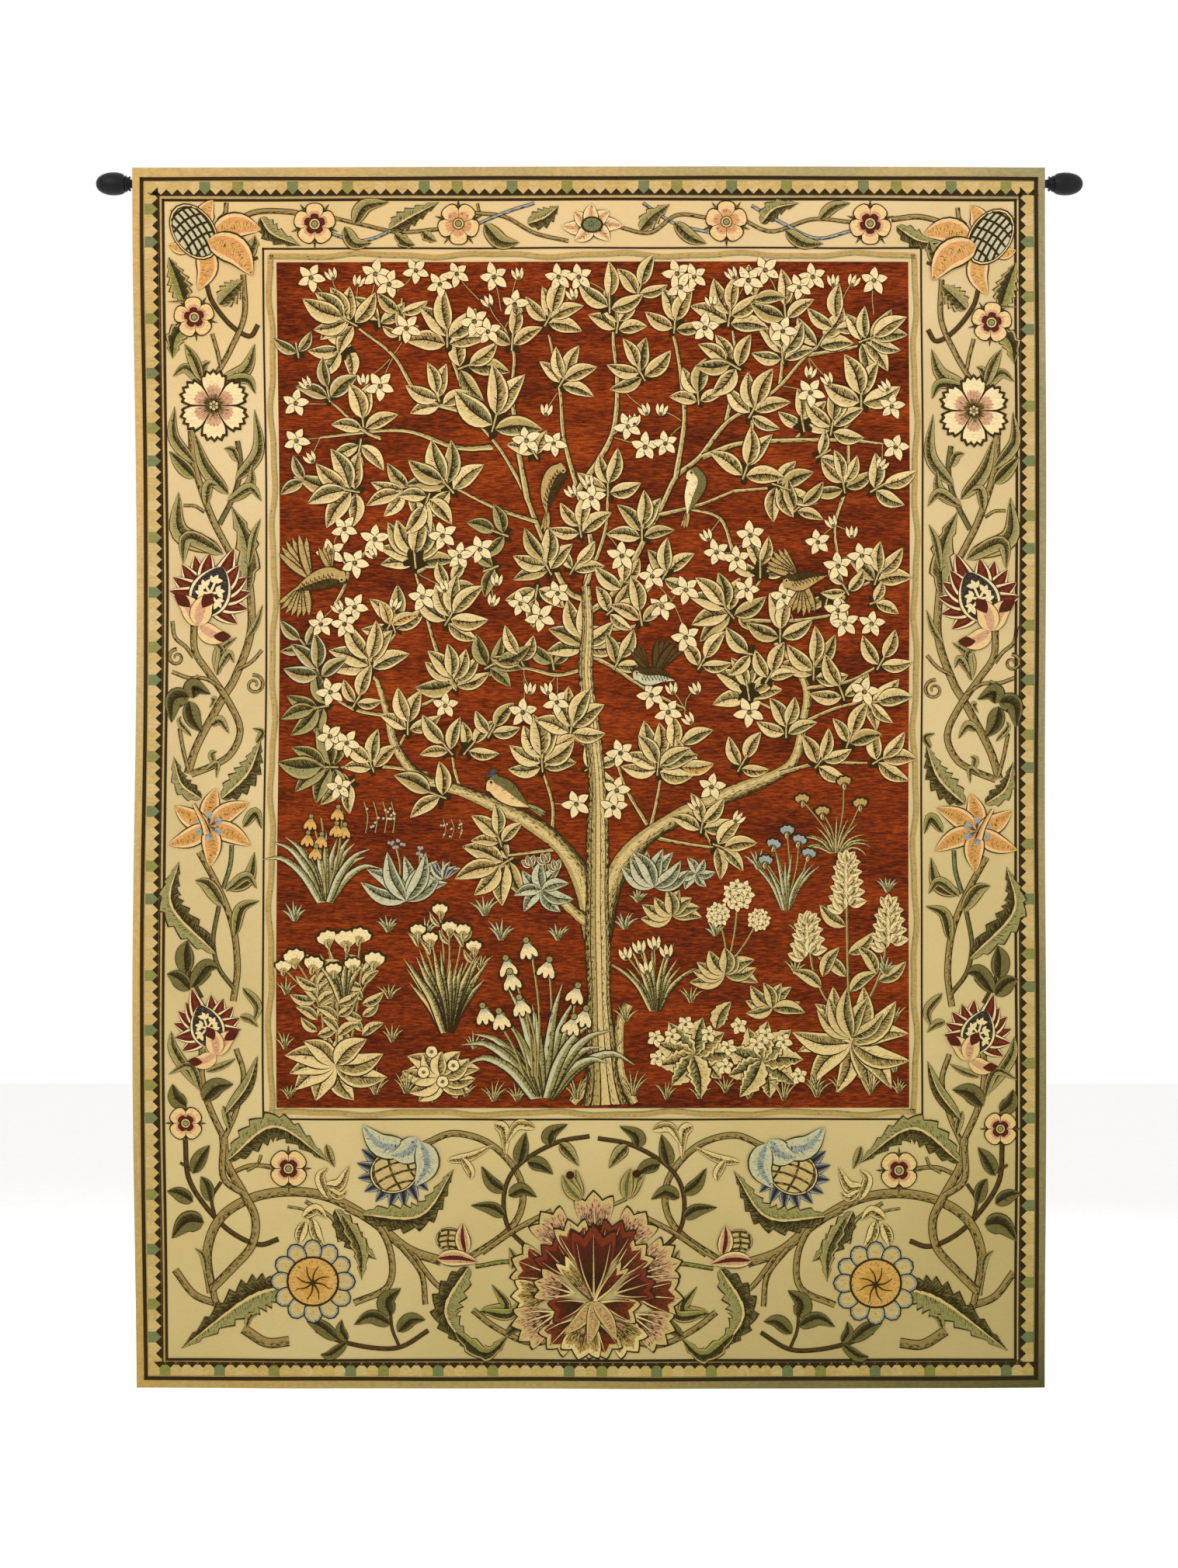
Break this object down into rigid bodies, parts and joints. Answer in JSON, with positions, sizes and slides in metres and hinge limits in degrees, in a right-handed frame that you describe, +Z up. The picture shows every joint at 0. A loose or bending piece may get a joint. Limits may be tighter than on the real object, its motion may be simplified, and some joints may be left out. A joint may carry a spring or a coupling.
{
  "type": "tapestry wall hanging",
  "caption": "Lined woven tapestry with a rod sleeve, hung from a steel rod with turned finials on two open-topped wall brackets hidden behind it.",
  "frame": {"origin": "on the wall, at the centre of the rectangle of four screw holes in the two brackets, level with the rod's axis", "axes": "+X to the right of a person facing the picture, along the rod; +Z up; +Y into the wall, so the picture faces -Y"},
  "size_m": [1.4568, 0.049, 1.8],
  "materials": {
    "woven_face": "ribbed cotton weave",
    "lining_cotton": "plain cotton weave",
    "sleeve_cotton": "plain cotton weave",
    "sewing_thread": "twisted cotton",
    "label_satin": "satin ribbon",
    "black_steel": "satin powder coat",
    "bright_steel": "zinc plated",
    "black_lacquer": "satin black lacquer on turned beech"
  },
  "bodies": {
    "wall_brackets": {"bracket_left": "black_steel", "bracket_right": "black_steel"},
    "rod": {"rod_tube": "black_steel", "rod_insert_left": "bright_steel", "rod_insert_right": "bright_steel"},
    "cloth": {"face_cloth": "woven_face", "lining": "lining_cotton", "lining_seam_thread": "sewing_thread", "rod_sleeve_top": "sleeve_cotton", "rod_sleeve_back": "sleeve_cotton", "sleeve_upper_thread": "sewing_thread", "sleeve_lower_thread": "sewing_thread", "care_label": "label_satin"},
    "left_stud": {"finial_stud_left": "bright_steel"},
    "left_finial": {"finial_left": "black_lacquer"},
    "right_stud": {"finial_stud_right": "bright_steel"},
    "right_finial": {"finial_right": "black_lacquer"}
  },
  "joints": [
    {"name": "lift_off", "type": "slide", "parent": "wall_brackets", "child": "rod", "axis": [0, 0, 1], "range_m": [0, 0.04]},
    {"name": "swing", "type": "hinge", "parent": "rod", "child": "cloth", "pos_m": [0, -0.032, 0], "axis": [-1, 0, 0], "range_deg": [0, 75]},
    {"name": "finial_left_travel", "type": "slide", "parent": "rod", "child": "left_stud", "axis": [-1, 0, 0], "range_m": [0, 0.014]},
    {"name": "finial_left_turn", "type": "hinge", "parent": "left_stud", "child": "left_finial", "pos_m": [-0.7, -0.032, 0], "axis": [-1, 0, 0], "range_deg": [0, 5040]},
    {"name": "finial_right_travel", "type": "slide", "parent": "rod", "child": "right_stud", "axis": [1, 0, 0], "range_m": [0, 0.014]},
    {"name": "finial_right_turn", "type": "hinge", "parent": "right_stud", "child": "right_finial", "pos_m": [0.7, -0.032, 0], "axis": [1, 0, 0], "range_deg": [0, 5040]}
  ],
  "couplings": [
    {"joint": "finial_left_travel", "follows": "finial_left_turn", "m_per_rad": 0.000159},
    {"joint": "finial_right_travel", "follows": "finial_right_turn", "m_per_rad": 0.000159}
  ]
}
